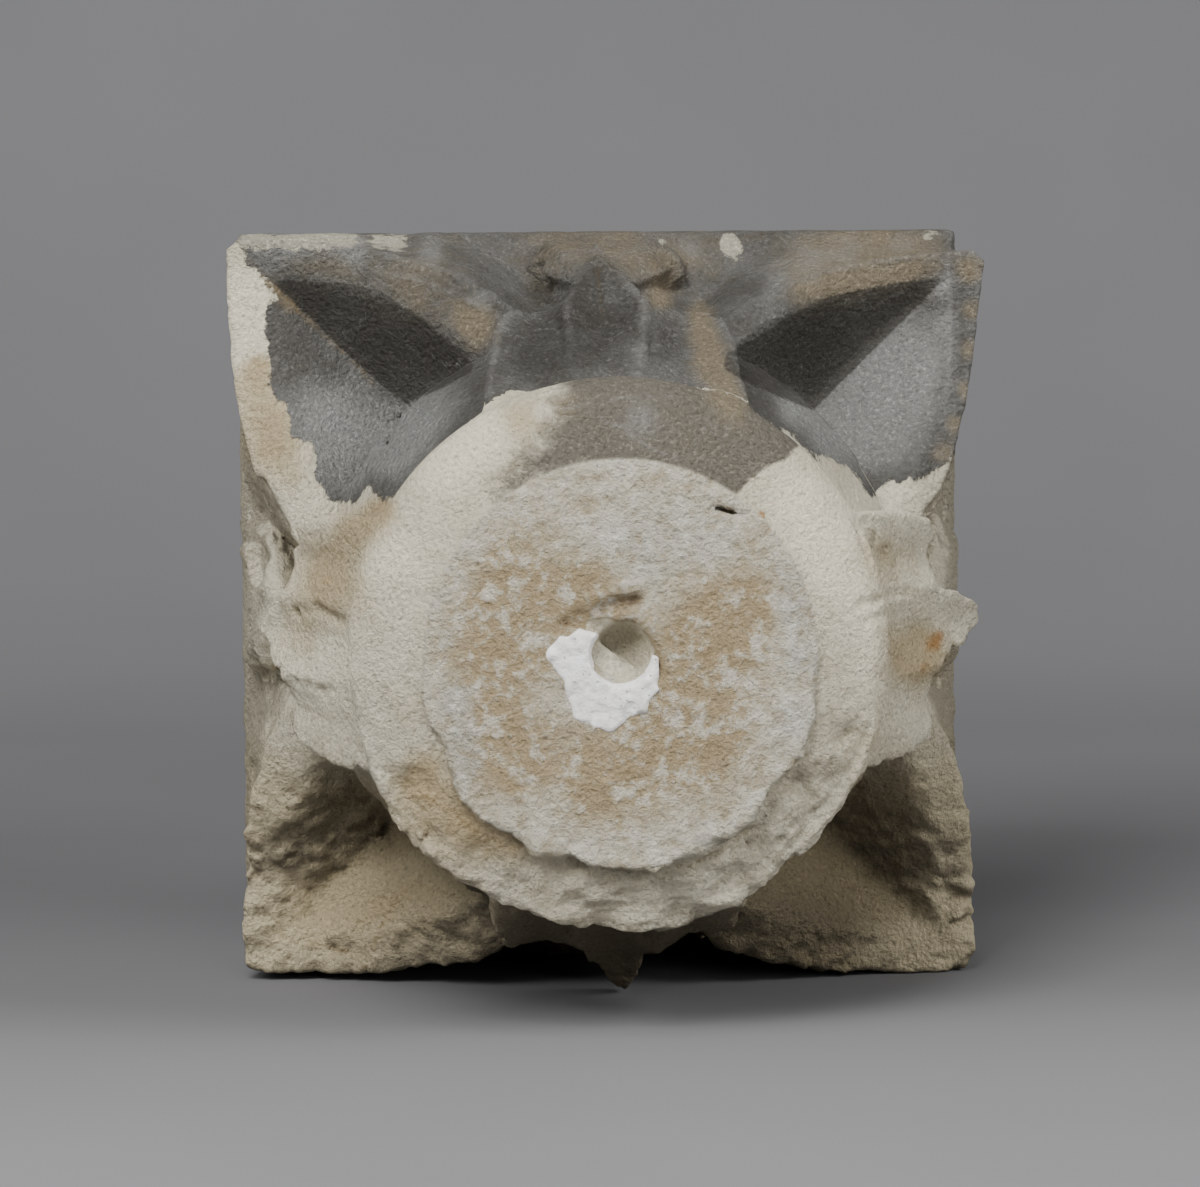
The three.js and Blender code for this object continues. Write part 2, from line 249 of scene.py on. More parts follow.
# Fine pale lines, worn arrises with a painted highlight along them, and rusty lines, each (width, points) in
# pixels
PALE_LINES_AND_HIGHLIGHTS = [
    (1.3, [(536, 413), (560, 409), (590, 403), (620, 398), (652, 396)]),
    (1.6, [(600, 420), (622, 428), (640, 441), (658, 452), (678, 458)]),
    (2.0, [(375, 272), (410, 277), (445, 290), (475, 303), (500, 318)]),
    (2.2, [(947, 262), (950, 300), (950, 350), (946, 400)]),
    (2.0, [(643, 300), (644, 330), (639, 378)]),
    (1.5, [(512, 308), (502, 330), (494, 362)]),
    (1.6, [(363, 893), (375, 897), (382, 905), (395, 908)]),
    (1.2, [(250, 424), (262, 434), (274, 441)]),
    (1.2, [(246, 436), (256, 440), (268, 443)]),
]
RUSTY_LINES = [
    (1.6, [(597, 268), (599, 290), (604, 318)]),
    (1.4, [(262, 277), (290, 302), (322, 332), (358, 366), (372, 382)]),
    (2.4, [(420, 792), (450, 810), (482, 838), (516, 850)]),
    (1.8, [(300, 941), (330, 947), (356, 955), (366, 968)]),
    (1.8, [(398, 900), (384, 920), (372, 948)]),
    (1.5, [(664, 862), (690, 866), (726, 846), (756, 826)]),
]
# The leaf under the bed: the rows where its shade sets in, its middle and its half width
UNDER_LEAF_ROWS = (905, 925)
UNDER_LEAF_MIDDLE = 600
UNDER_LEAF_HALF = (100, 80)
# Painted shade in the depths of the hollows of the lower leaves. Patches are each (u, v, reach, weight)
DEEP_SHADE_PATCHES = [
    (872, 790, 30, 0.6), (780, 925, 50, 0.7), (840, 930, 40, 0.5), (700, 930, 40, 0.6), (345, 780, 24, 0.4),
]
# Soft patches of colour, by the name of the attribute that they are painted into
PATCHES = {
    # Painted light on the lit walls of the top leaves, with pale crust
    "pale_crust_and_light": [
        (300, 425, 60, 0.6), (345, 460, 45, 0.7), (350, 400, 40, 0.5), (415, 430, 34, 1.0),
        (450, 395, 30, 0.6), (395, 460, 20, 0.6), (850, 430, 48, 1.0), (885, 390, 50, 0.8),
        (915, 350, 45, 0.9), (900, 440, 45, 0.5), (795, 405, 20, 0.9), (640, 350, 12, 0.9),
        (640, 320, 10, 0.7), (775, 280, 20, 0.7), (810, 262, 22, 0.6), (850, 252, 22, 0.5),
        (900, 246, 22, 0.5), (942, 285, 12, 0.9), (946, 320, 12, 0.5), (350, 246, 24, 0.9),
        (300, 245, 24, 0.7), (430, 250, 18, 0.8), (260, 244, 20, 0.7), (480, 300, 16, 0.5),
        (520, 280, 20, 0.4), (640, 420, 24, 0.6), (530, 395, 16, 0.6), (690, 250, 14, 0.5),
    ],
    # Painted shade on walls and lobes that face away from the light, with black crust
    "dark_crust_and_shade": [
        (530, 355, 45, 1.0), (600, 330, 50, 1.0), (670, 345, 28, 0.8), (590, 270, 20, 0.6),
        (400, 340, 40, 0.7), (440, 365, 26, 0.8), (780, 350, 40, 0.7), (830, 320, 40, 0.7),
        (540, 290, 16, 0.7), (260, 262, 40, 0.4),
    ],
    "tan": [
        (478, 330, 22, 1.0), (425, 290, 40, 0.5), (390, 300, 40, 0.3), (470, 318, 22, 0.6),
        (704, 332, 18, 1.1), (712, 362, 20, 1.2), (724, 388, 18, 1.0), (700, 312, 12, 0.8),
        (830, 272, 40, 0.8), (870, 262, 40, 0.9), (910, 262, 34, 0.7), (800, 285, 34, 0.5),
        (972, 270, 14, 1.3), (974, 310, 12, 1.3), (973, 350, 12, 1.2), (968, 390, 12, 1.2),
        (958, 425, 12, 1.2), (944, 452, 12, 1.1), (690, 262, 40, 0.4), (655, 280, 22, 0.6),
        (620, 243, 30, 0.5), (560, 243, 40, 0.5), (330, 262, 40, 0.3), (562, 405, 22, 0.9),
        (534, 440, 16, 0.8), (510, 470, 14, 0.8), (620, 400, 40, 0.3), (700, 440, 60, 0.25),
        (270, 290, 12, 1.0), (290, 305, 10, 1.0), (310, 320, 8, 0.8), (250, 280, 14, 0.5),
        (540, 290, 20, 0.5), (660, 300, 16, 0.7), (735, 410, 18, 0.8),
    ],
    "ochre": [
        (360, 525, 26, 0.9), (382, 508, 16, 0.9), (320, 560, 40, 0.7), (340, 590, 36, 0.7),
        (262, 400, 40, 0.7), (270, 440, 34, 0.8), (250, 380, 20, 0.5), (290, 470, 34, 0.5),
        (260, 365, 12, 0.9), (430, 800, 46, 0.8), (480, 835, 40, 0.8), (520, 842, 24, 0.6),
        (300, 630, 40, 0.5), (880, 550, 26, 0.6), (900, 580, 40, 0.4), (930, 650, 26, 0.9),
        (912, 668, 22, 0.7), (900, 640, 30, 0.6), (390, 900, 60, 0.7), (330, 880, 50, 0.6),
        (300, 930, 60, 0.6), (440, 900, 30, 0.5), (520, 420, 24, 0.8), (420, 700, 24, 0.4),
        (740, 520, 20, 0.5), (880, 720, 50, 0.4), (420, 775, 24, 0.7),
    ],
    "rust": [
        (932, 645, 12, 1.0), (924, 668, 10, 0.8), (940, 635, 8, 0.8), (385, 905, 22, 0.8),
        (410, 890, 16, 0.7), (360, 920, 20, 0.6), (282, 935, 14, 0.7), (320, 945, 12, 0.6),
        (327, 580, 9, 0.8), (262, 366, 8, 0.7), (756, 516, 7, 0.8), (725, 512, 7, 0.6),
        (770, 501, 3, 1.5), (762, 516, 4, 1.5),
    ],
    "brown": [
        (520, 590, 70, 1.0), (500, 650, 50, 0.9), (490, 710, 50, 0.8), (560, 610, 50, 0.9),
        (620, 610, 40, 0.8), (740, 600, 50, 1.0), (730, 660, 50, 0.9), (720, 730, 50, 0.9),
        (660, 700, 50, 0.7), (560, 770, 60, 0.9), (640, 760, 60, 0.8), (700, 790, 50, 0.6),
        (500, 760, 40, 0.6), (600, 810, 40, 0.4), (690, 640, 40, 0.7),
    ],
    "grey": [
        (795, 610, 24, 1.0), (800, 660, 22, 1.0), (792, 720, 24, 1.0), (785, 570, 20, 0.6),
        (455, 700, 22, 1.0), (462, 740, 22, 1.0), (470, 775, 20, 0.8), (445, 640, 18, 0.7),
        (470, 550, 24, 0.6), (660, 520, 50, 0.5), (720, 540, 40, 0.5), (600, 540, 40, 0.4),
        (650, 570, 30, 0.4),
    ],
    "bare": [
        (733, 250, 10, 1.2), (728, 242, 9, 1.2), (398, 242, 12, 1.0), (378, 241, 10, 0.9),
        (250, 240, 12, 1.0), (280, 241, 9, 0.9), (233, 240, 8, 1.0), (305, 240, 12, 0.8),
        (330, 240, 10, 0.8), (352, 240, 10, 0.8), (265, 241, 9, 1.0), (292, 241, 9, 1.0),
        (318, 240, 9, 1.0), (341, 240, 9, 0.9), (661, 241, 6, 0.8), (930, 235, 10, 0.7),
    ],
    # Painted light where the lower leaves are lit
    "lit": [
        (290, 880, 60, 1.0), (360, 930, 60, 1.0), (430, 930, 50, 0.9), (262, 800, 34, 0.9),
        (254, 900, 44, 0.9), (300, 960, 60, 0.9), (405, 880, 34, 0.7), (490, 925, 30, 0.5),
        (948, 830, 34, 1.0), (955, 880, 34, 1.0), (930, 950, 46, 0.7), (962, 930, 34, 0.9),
        (940, 780, 24, 0.8), (880, 960, 40, 0.4), (262, 740, 30, 0.6),
    ],
    # Cream stone, and painted light on the middle leaves at the sides
    "cream_and_light": [
        (900, 545, 44, 1.0), (910, 600, 44, 1.0), (900, 660, 44, 0.8), (870, 570, 40, 0.9),
        (890, 710, 36, 0.7), (320, 560, 50, 1.0), (290, 600, 40, 0.8), (300, 650, 50, 0.6),
        (330, 680, 40, 0.4), (245, 300, 40, 0.9), (250, 380, 44, 0.9), (280, 450, 40, 0.8),
        (330, 510, 34, 0.7), (890, 500, 34, 0.7), (400, 560, 34, 0.5), (440, 470, 40, 0.6),
        (480, 430, 34, 0.7), (800, 500, 40, 0.6), (820, 560, 40, 0.5),
    ],
}
# The top of the abacus is tan all along, from one row of pixels up to the other
TAN_BAND_ROWS = (300, 255)
TAN_BAND_WEIGHT = 0.28


def camera_axes():
    """The camera's right, up and forward directions."""
    forward = Vector((
        math.sin(CAMERA_YAW) * math.cos(CAMERA_PITCH),
        math.cos(CAMERA_YAW) * math.cos(CAMERA_PITCH),
        -math.sin(CAMERA_PITCH),
    ))
    level = Vector((math.cos(CAMERA_YAW), -math.sin(CAMERA_YAW), 0))
    top = level.cross(forward)
    right = level * math.cos(CAMERA_ROLL) - top * math.sin(CAMERA_ROLL)
    up = level * math.sin(CAMERA_ROLL) + top * math.cos(CAMERA_ROLL)
    return right, up, forward


def photo_place(x, at, z):
    """Where a point of the capital shows in the photograph, in its pixels."""
    right, up, forward = camera_axes()
    away = (
        x * MM - CAMERA_PLACE.x,
        (at + BED_AT_MM) * MM - CAMERA_PLACE.y,
        (z + AXIS_HEIGHT_MM) * MM - CAMERA_PLACE.z,
    )
    across = sum(a * float(r) for a, r in zip(away, right))
    rise = sum(a * float(u) for a, u in zip(away, up))
    depth = sum(a * float(f) for a, f in zip(away, forward))
    return PHOTO_WIDTH / 2 + FOCAL_PIXELS * across / depth, PHOTO_HEIGHT / 2 - FOCAL_PIXELS * rise / depth


def smoothstep(edge_low, edge_high, value):
    share = np.clip((value - edge_low) / (edge_high - edge_low), 0, 1)
    return share * share * (3 - 2 * share)


def blur(field, passes):
    for _ in range(passes):
        for axis in range(3):
            field = field * 0.5 + (np.roll(field, 1, axis) + np.roll(field, -1, axis)) * 0.25
    return field


def smooth_union(a, b, width):
    share = np.clip(0.5 + 0.5 * (b - a) / width, 0, 1)
    return b * (1 - share) + a * share - width * share * (1 - share)


def broken_share(z, radius):
    """How much of the ring is broken away: nothing above its middle, all at its bottom."""
    return smoothstep(0.1, -0.75, z / np.maximum(radius, 1))


def line_distance(u, v, points):
    nearest = np.full(u.shape, 1e9)
    for (au, av), (bu, bv) in zip(points[:-1], points[1:]):
        du, dv = bu - au, bv - av
        share = np.clip(((u - au) * du + (v - av) * dv) / (du * du + dv * dv), 0, 1)
        nearest = np.minimum(nearest, (u - au - share * du) ** 2 + (v - av - share * dv) ** 2)
    return np.sqrt(nearest)


def outline_distance(u, v, outline):
    """Signed distance from an outline, positive inside."""
    inside = np.zeros(u.shape, bool)
    for (au, av), (bu, bv) in zip(outline, outline[1:] + outline[:1]):
        crosses = ((av > v) != (bv > v)) & (u < (bu - au) * (v - av) / (bv - av + 1e-9) + au)
        inside ^= crosses
    return np.where(inside, 1, -1) * line_distance(u, v, outline + outline[:1])


def lines(u, v, places):
    """Soft lines, 1 in their middle."""
    total = np.zeros(u.shape)
    for width, points in places:
        total = np.maximum(total, np.exp(-((line_distance(u, v, points) / width) ** 2)))
    return total


def patches(u, v, places):
    """A sum of soft round patches."""
    total = np.zeros(u.shape)
    for pu, pv, reach, weight in places:
        total += weight * np.exp(-((u - pu) ** 2 + (v - pv) ** 2) / reach**2)
    return total


def coordinates(mesh):
    points = np.empty(len(mesh.vertices) * 3, np.float32)
    mesh.vertices.foreach_get("co", points)
    points = points.reshape(-1, 3) * 1000
    return points[:, 0], points[:, 1] - BED_AT_MM, points[:, 2] - AXIS_HEIGHT_MM


def vertex_normals(mesh):
    normals = np.empty(len(mesh.vertices) * 3, np.float32)
    mesh.vertex_normals.foreach_get("vector", normals)
    return normals.reshape(-1, 3)


class Field:
    """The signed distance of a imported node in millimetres, on a regular grid."""

    def __init__(self, node, voxel_mm, margin_mm):
        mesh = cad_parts[node].data
        points = np.empty(len(mesh.vertices) * 3, np.float32)
        mesh.vertices.foreach_get("co", points)
        points = points.reshape(-1, 3) * 1000
        mesh.calc_loop_triangles()
        triangles = np.empty(len(mesh.loop_triangles) * 3, np.int32)
        mesh.loop_triangles.foreach_get("vertices", triangles)
        grid = openvdb.FloatGrid.createLevelSetFromPolygons(
            points,
            triangles=triangles.reshape(-1, 3).astype(np.uint32),
            transform=openvdb.createLinearTransform(voxelSize=voxel_mm),
            halfWidth=BAND_VOXELS,
        )
        self.voxel = voxel_mm
        self.first = np.floor((points.min(0) - margin_mm) / voxel_mm).astype(int)
        last = np.ceil((points.max(0) + margin_mm) / voxel_mm).astype(int)
        self.value = np.empty(last - self.first, np.float32)
        grid.copyToArray(self.value, ijk=tuple(int(k) for k in self.first))
        x, y, z = [(np.arange(n) + f) * voxel_mm for n, f in zip(self.value.shape, self.first)]
        self.x = x.astype(np.float32).reshape(-1, 1, 1)
        self.at = (y - BED_AT_MM).astype(np.float32).reshape(1, -1, 1)
        self.z = (z - AXIS_HEIGHT_MM).astype(np.float32).reshape(1, 1, -1)
        self.radius = np.sqrt(self.x**2 + self.z**2)

    def noise(self, cell_mm, seed):
        """Smooth random values, about -1 to 1, that change over one cell."""
        rng = np.random.default_rng(SEED + seed)
        shape = self.value.shape
        counts = [int(math.ceil(n * self.voxel / cell_mm)) + 3 for n in shape]
        field = rng.standard_normal(counts).astype(np.float32)
        for axis in range(3):
            place = np.arange(shape[axis], dtype=np.float32) * (self.voxel / cell_mm)
            first = place.astype(int)
            part = place - first
            part = part * part * (3 - 2 * part)
            part = part.reshape([-1 if k == axis else 1 for k in range(3)])
            field = np.take(field, first, axis) * (1 - part) + np.take(field, first + 1, axis) * part
        return field

    def lines_of_cells(self):
        return self.x.ravel(), self.at.ravel(), self.z.ravel()

    def window(self, middle, reach):
        """The part of the grid around a place, with its coordinates from there."""
        spans = []
        for line, centre in zip(self.lines_of_cells(), middle):
            start, stop = np.searchsorted(line, (centre - reach, centre + reach))
            spans.append(slice(int(start), int(stop)))
        a, b, c = spans
        x, at, z = middle
        return (a, b, c), self.x[a] - x, self.at[:, b] - at, self.z[:, :, c] - z

    def ball(self, place, radii):
        """The part of the grid around an ellipsoid, with the distances from it."""
        box, dx, dat, dz = self.window(place, max(radii) + BALL_MARGIN_MM)
        across = np.sqrt((dx / radii[0]) ** 2 + (dat / radii[1]) ** 2 + (dz / radii[2]) ** 2)
        return box, (across - 1) * min(radii)

    def carve(self, place, radii, rounding):
        """Take an ellipsoid away."""
        box, ball = self.ball(place, radii)
        self.value[box] = -smooth_union(-self.value[box], ball, rounding)

    def swell(self, place, radii, rounding):
        """Add an ellipsoid."""
        box, ball = self.ball(place, radii)
        self.value[box] = smooth_union(self.value[box], ball, rounding)

    def hit(self, u, v):
        """The first point of the surface on the line of sight through a pixel of the photograph."""
        right, up, forward = camera_axes()
        across = (u - PHOTO_WIDTH / 2) / FOCAL_PIXELS
        fall = (v - PHOTO_HEIGHT / 2) / FOCAL_PIXELS
        sight = forward + right * across - up * fall
        start = CAMERA_PLACE * 1000 - Vector((0, BED_AT_MM, AXIS_HEIGHT_MM))
        sight /= sight.y
        axes = self.lines_of_cells()
        for at in np.arange(-4, 235, 0.5):
            place = start + sight * (at - start.y)
            cell = [int(np.clip(np.searchsorted(line, p), 0, len(line) - 1)) for line, p in zip(axes, place)]
            if self.value[tuple(cell)] < 0:
                return tuple(place)
        return tuple(place)

    def grooves(self, places):
        """Cut grooves along lines drawn on the photograph."""
        for pixels, width, depth in places:
            for (au, av), (bu, bv) in zip(pixels[:-1], pixels[1:]):
                steps = max(2, int(math.dist((au, av), (bu, bv)) / (width * 1.6)))
                for share in np.linspace(0, 1, steps):
                    place = self.hit(au + (bu - au) * share, av + (bv - av) * share)
                    self.carve(place, (width, depth, width), GROOVE_ROUNDING_MM)

    def dents(self, places):
        """Take ellipsoids away where pixels of the photograph meet the surface."""
        for u, v, radii in places:
            self.carve(self.hit(u, v), radii, DENT_ROUNDING_MM)

    def raise_outline(self, outline, low, high, proud, thick):
        """Add stone inside an outline drawn on the photograph. Its face rises from one pixel's hit to
        stand proud of another's."""
        low_place = self.hit(*low)
        high_place = self.hit(*high)
        lean = (high_place[1] - proud - low_place[1]) / max(high_place[2] - low_place[2], 4)
        middle = [(a + b) / 2 for a, b in zip(low_place, high_place)]
        box, dx, dat, dz = self.window(middle, OUTLINE_REACH_MM)
        u, v = photo_place(middle[0] + dx, middle[1] + dat, middle[2] + dz)
        aside = -outline_distance(u, v, outline) / PIXELS_PER_MM
        face = low_place[1] + lean * (middle[2] + dz - low_place[2]) + RIDGE_SLOPE * np.abs(dx)
        behind = middle[1] + dat - face
        body = np.maximum(aside, np.maximum(-behind, behind - thick))
        self.value[box] = smooth_union(self.value[box], body, OUTLINE_ROUNDING_MM)

    def sample(self, values, mesh):
        """Values of the grid at the vertices of a mesh."""
        cells = []
        for line, place in zip(self.lines_of_cells(), coordinates(mesh)):
            cells.append(np.clip(np.round((place - line[0]) / self.voxel).astype(int), 0, len(line) - 1))
        return values[tuple(cells)]

    def mesh(self, name):
        grid = openvdb.FloatGrid(float(BAND_VOXELS * self.voxel))
        grid.copyFromArray(self.value, ijk=tuple(int(k) for k in self.first))
        grid.transform = openvdb.createLinearTransform(voxelSize=self.voxel * MM)
        points, quads = grid.convertToQuads(isovalue=0)
        mesh = bpy.data.meshes.new(name)
        mesh.vertices.add(len(points))
        mesh.vertices.foreach_set("co", points.astype(np.float32).ravel())
        corners = quads.astype(np.int32)
        mesh.loops.add(corners.size)
        mesh.loops.foreach_set("vertex_index", corners.ravel())
        mesh.polygons.add(len(corners))
        mesh.polygons.foreach_set("loop_start", np.arange(len(corners), dtype=np.int32) * 4)
        mesh.update(calc_edges=True)
        mesh.validate()
        return mesh


def link(name, mesh):
    piece = bpy.data.objects.new(name, mesh)
    bpy.context.scene.collection.objects.link(piece)
    return piece


def reduced(piece, triangles, coarse=None):
    """Collapse a dense mesh to a number of triangles, fewest where coarse is near 1."""
    mesh = piece.data
    reduce = piece.modifiers.new("reduce", "DECIMATE")
    reduce.ratio = min(1.0, triangles / (len(mesh.polygons) * 2))
    reduce.use_collapse_triangulate = True
    if coarse is not None:
        group = piece.vertex_groups.new(name="coarse")
        levels = (coarse * COARSE_LEVELS).astype(int)
        for level in range(COARSE_LEVELS):
            chosen = np.nonzero(levels == level)[0]
            group.add([int(k) for k in chosen], (level + 1) / COARSE_LEVELS, "REPLACE")
        reduce.vertex_group = "coarse"
        reduce.vertex_group_factor = 1.0
    bpy.context.view_layer.update()
    result = bpy.data.meshes.new_from_object(piece.evaluated_get(bpy.context.evaluated_depsgraph_get()))
    piece.modifiers.clear()
    piece.vertex_groups.clear()
    piece.data = result
    result.shade_smooth()
    return piece


def fill_pocket(field):
    """The solid's pocket is filled up to a shallow hollow, because the plaster is a thin skin."""
    ring = np.maximum(field.radius - POCKET_RADIUS_MM, POCKET_FLOOR_MM - field.at)
    filling = np.maximum(ring, np.maximum(DOWEL_RADIUS_MM - field.radius, field.at - POCKET_END_MM))
    field.value = np.minimum(field.value, filling)


def soften_facets(field):
    """Facets go, and edges stay where the solid bends sharply."""
    sharp = field.value
    rounded = blur(sharp, 7)
    bend = smoothstep(0.22, 0.75, np.abs(rounded - sharp))
    field.value = rounded * (1 - bend) + sharp * bend


def broken_bed(field):
    """The bed stands a little proud, and the lower half of the ring is broken away below it."""
    radius = field.radius
    angle = np.arctan2(field.x, field.z)
    down = broken_share(field.z, radius)
    ragged = 1.3 * np.sin(7 * angle + 1.0) + 1.0 * np.sin(13 * angle) + 0.8 * np.sin(23 * angle + 2)
    ragged = ragged + 1.2 * field.noise(8, 31)
    plateau = BED_RADIUS_MM + PROUD_BED_PAST_MM + BROKEN_PAST_MM * down + ragged * (0.8 + 0.6 * down)
    shelf = np.maximum(radius - plateau, np.maximum(-field.at, field.at - 16))
    shelf += 12 * (1 - down) * smoothstep(2.2, 3.2, field.at)
    shelf = np.maximum(shelf, DOWEL_RADIUS_MM - radius)
    swelling = 4.0 + 1.6 * np.sin(5 * angle + 0.4) + 1.5 * field.noise(17, 32)
    swollen = RING_RADIUS_MM + 1.0 + down * swelling
    rim = np.maximum(np.maximum(radius - swollen, 14 - field.at + (swollen - radius) * 0.2), field.at - 34)
    slope = 1.0 + 3.4 * down + 0.42 * np.maximum(radius - BED_RADIUS_MM - 2, 0)
    slope = slope + (0.4 + 1.3 * down) * field.noise(9, 33)
    slope = np.maximum(plateau - 0.4 - radius, field.at - slope)
    below = np.maximum(slope, radius - swollen - 9)
    value = np.minimum(field.value, rim + 6 * (1 - down))
    value = np.maximum(value, -below)
    field.value = smooth_union(value, shelf, 0.8)


def dowel_mouth(field):
    """The worn mouth of the dowel hole, and the old mortar in its lower left half."""
    mouth = field.radius - (MOUTH_RADIUS_MM - MOUTH_SLOPE * field.at) + 0.5 * field.noise(5, 37)
    mouth = np.maximum(mouth, field.at - 6)
    field.value = np.maximum(field.value, -mouth)
    past = -0.654 * field.x - 0.756 * field.z - 1.5
    depth = 6.5 - 0.5 * past
    lumpy = 0.9 * field.noise(4, 38) + 0.6 * field.noise(9, 39)
    mortar = np.maximum(lumpy - past, depth - field.at + lumpy)
    mortar = np.maximum(mortar, field.radius - MOUTH_RADIUS_MM - 1)
    mortar = np.maximum(mortar, field.at - 20)
    field.value = smooth_union(field.value, mortar, 0.8)


def chips(field):
    """Cracks, chips and hollows, and the top leaf's lobes."""
    for u, v, reach in TROUGH:
        field.dents([(u, v, (reach, TROUGH_DEPTH_MM, reach * TROUGH_FLATNESS))])
    field.dents(MOUTH_DENTS)
    field.grooves(BED_CRACKS)
    field.dents(BED_DENTS)
    field.grooves(LEFT_GAPS)
    field.dents(LEFT_DENTS)
    field.grooves(LEFT_FOLDS)
    field.grooves(RIGHT_CRACKS)
    field.dents(RIGHT_DENTS)
    field.grooves(RIGHT_FOLDS)
    for x, at, z, radii in BOSS_STONE:
        field.swell((x, at, z), radii, SWELL_ROUNDING_MM)
    field.raise_outline(RIGHT_KNOB, *RIGHT_KNOB_FACE)
    field.raise_outline(MIDDLE_LOBE, *MIDDLE_LOBE_FACE)
    field.dents(BOSS_DENTS)
    field.grooves(LOBE_GROOVES)
    field.dents(RIM_DENTS)


def strata(field):
    """Wavy layers that stand out of the broken lower side of the ring."""
    radius = field.radius
    down = smoothstep(0.0, -0.8, field.z / np.maximum(radius, 1))
    place = down * smoothstep(78, 84, radius) * smoothstep(118, 108, radius) * smoothstep(45, 36, field.at)
    phase = (radius + 0.35 * field.at + 2.6 * field.noise(24, 34) + 0.9 * field.noise(9, 35)) / 4.6
    layer = np.abs((phase % 1) * 2 - 1) - 0.5
    return place * layer * (0.9 + 0.5 * field.noise(14, 36))


def wear_shares(field):
    """Where the stone is worn, where its bed and its back are, and how calm it is elsewhere."""
    across = np.abs(field.x)
    radius = field.radius
    worn = smoothstep(35, -60, field.z) * smoothstep(238, 200, field.at)
    sides = smoothstep(112, 138, across) * smoothstep(70, 30, field.z) * smoothstep(225, 205, field.at)
    worn = np.maximum(worn, 0.8 * sides)
    smooth_ring = smoothstep(-55, 5, field.z) * smoothstep(73, 77, radius) * smoothstep(108, 104, radius)
    smooth_ring = smooth_ring * smoothstep(45, 36, field.at)
    bed = smoothstep(80, 76, radius) * smoothstep(9, 4, field.at) * smoothstep(11, 14, radius)
    worn = worn * (1 - bed)
    side_leaf = smoothstep(96, 108, across) * smoothstep(-75, -55, field.z) * smoothstep(150, 140, field.at)
    worn = worn * (1 - 0.6 * side_leaf)
    back = smoothstep(226, 238, field.at)
    return worn, bed, back, 1 - 0.8 * smooth_ring


def wear(field):
    """Round the worn places, roughen the stone at four sizes and chip its edges."""
    worn, bed, back, calm = wear_shares(field)
    d = blur(field.value, 1)
    broad = blur(d, 14)
    soft = blur(d, 3)
    d = d * (1 - 0.8 * worn) + soft * (0.8 * worn)
    edge = np.clip(broad - soft, 0, 2.5)
    coarse = field.noise(27, 1)
    medium = field.noise(10, 2)
    small = field.noise(4.4, 3)
    fine = field.noise(2.4, 4)
    flaky = np.abs(field.noise(7, 5) + 0.5 * small)
    d = d + coarse * (0.15 + 0.75 * worn) * calm * (1 - back)
    d += medium * (0.16 + 0.5 * worn + 0.05 * bed) * calm
    d += small * (0.13 + 0.32 * worn + 0.1 * bed) * calm * (1 - 0.6 * back)
    d += fine * (0.12 + 0.28 * worn + 0.1 * bed) * (0.4 + 0.6 * calm) * (1 - 0.8 * back)
    d += (flaky - 0.7) * 0.35 * worn
    d += strata(field)
    chipped = np.clip(medium * 0.8 + small * 0.9 - 0.4, 0, 2)
    d += edge * chipped * (0.35 + 0.45 * worn)
    # Nothing goes below the floor
    field.value = np.maximum(d, -(field.z + AXIS_HEIGHT_MM - 0.2))


def weathered_stone():
    """The stone's piece, and how hollow it is at each of its vertices."""
    field = Field("capital", VOXEL_MM, 7)
    fill_pocket(field)
    soften_facets(field)
    broken_bed(field)
    dowel_mouth(field)
    chips(field)
    wear(field)
    piece = link("stone", field.mesh("stone"))
    turned_away = np.clip(smoothstep(-0.35, 0.3, vertex_normals(piece.data)[:, 1]), 0, 0.99)
    reduced(piece, STONE_TRIANGLES, turned_away)
    hollow = blur(field.value, 8) - blur(field.value, 1)
    return piece, field.sample(hollow, piece.data)


def plaster_skin():
    """A thin lumpy patch beside the dowel hole and a collar around its lower left."""
    field = Field("dowel_plaster", PLASTER_VOXEL_MM, 6)
    radius = field.radius
    patch = np.maximum(blur(field.value, 8) - 1.6, field.at - 2.8)
    lower_left = 2 + 0.6 * field.x + 0.75 * field.z
    collar = np.maximum(np.abs(field.at - 1.2) - 1.8, lower_left)
    collar = np.maximum(np.abs(radius - 15.2) - 3.4, collar)
    lumpy = field.noise(6, 21) * 0.3 + field.noise(2.5, 22) * 0.25 + field.noise(3.5, 23) * 0.25
    d = smooth_union(patch, collar, 2.5) + lumpy
    pits = np.clip(np.abs(field.noise(4, 24)) - 1.5, 0, 1)
    mouth = MOUTH_RADIUS_MM - 0.9 - MOUTH_SLOPE * np.maximum(field.at, 0) - radius
    field.value = np.maximum(d + 1.2 * pits, mouth)
    return reduced(link("plaster", field.mesh("plaster")), PLASTER_TRIANGLES)


